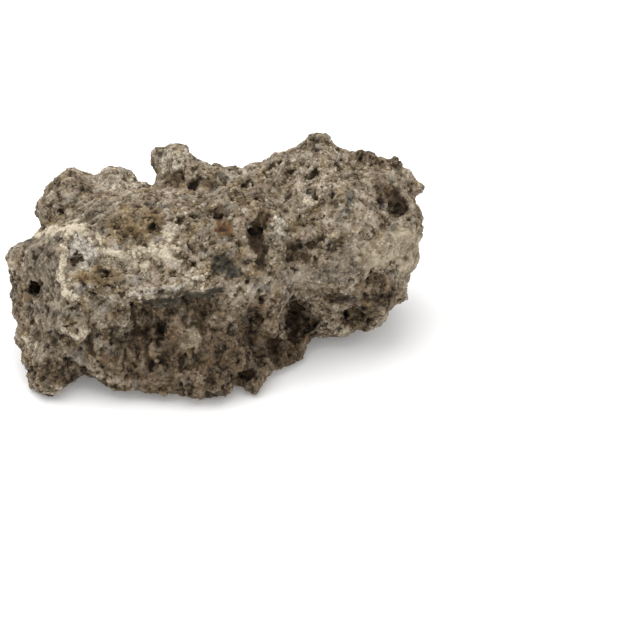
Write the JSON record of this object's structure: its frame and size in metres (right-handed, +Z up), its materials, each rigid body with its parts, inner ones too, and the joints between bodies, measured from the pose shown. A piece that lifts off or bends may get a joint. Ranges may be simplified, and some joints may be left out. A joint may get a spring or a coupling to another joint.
{
  "type": "fulgurite",
  "caption": "Irregular lump of sand and soil fused by lightning: knobbly pitted surface, deep cavities, a flat broken end and an uneven underside it rests on.",
  "frame": {"origin": "on the ground, under the middle of the specimen's outline box", "axes": "+X along the length, -Y towards the broad front, +Z up"},
  "size_m": [0.1421, 0.0797, 0.0653],
  "materials": {
    "fused_sand": "rough sintered sand and soil, matt, full of small pits"
  },
  "bodies": {
    "root": {"fulgurite": "fused_sand"}
  },
  "joints": []
}
